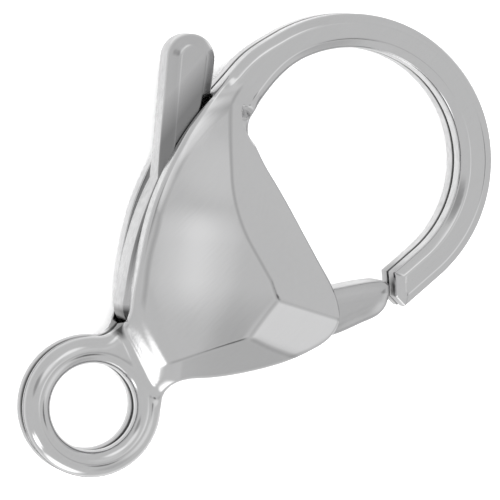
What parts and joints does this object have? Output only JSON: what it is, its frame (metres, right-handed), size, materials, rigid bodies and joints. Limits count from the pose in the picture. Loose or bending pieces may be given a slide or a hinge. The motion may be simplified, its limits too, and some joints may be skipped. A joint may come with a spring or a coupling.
{
  "type": "lobster clasp",
  "caption": "Polished steel lobster clasp: two hollow half shells with an eye ring and a round hook, closed by a sprung lever with a thumb tab.",
  "frame": {"origin": "centre of the eye ring's hole, on the plane where the two half shells meet", "axes": "+X from the eye ring to the hook, +Y to the side of the thumb tab, +Z square to the flat clasp, out of its front"},
  "size_m": [0.0159, 0.0099, 0.0038],
  "materials": {
    "shell_steel": "polished stainless steel",
    "lever_steel": "tumbled stainless steel",
    "pin_steel": "plain turned steel"
  },
  "bodies": {
    "body": {"front_shell": "shell_steel", "back_shell": "shell_steel", "pivot_pin": "pin_steel"},
    "lever": {"lever": "lever_steel"}
  },
  "joints": [
    {"name": "lever_hinge", "type": "hinge", "parent": "body", "child": "lever", "pos_m": [0.00327, 0.00073, 0], "axis": [0, 0, 1], "range_deg": [0, 25], "stiffness_Nm_per_rad": 0.0005}
  ]
}
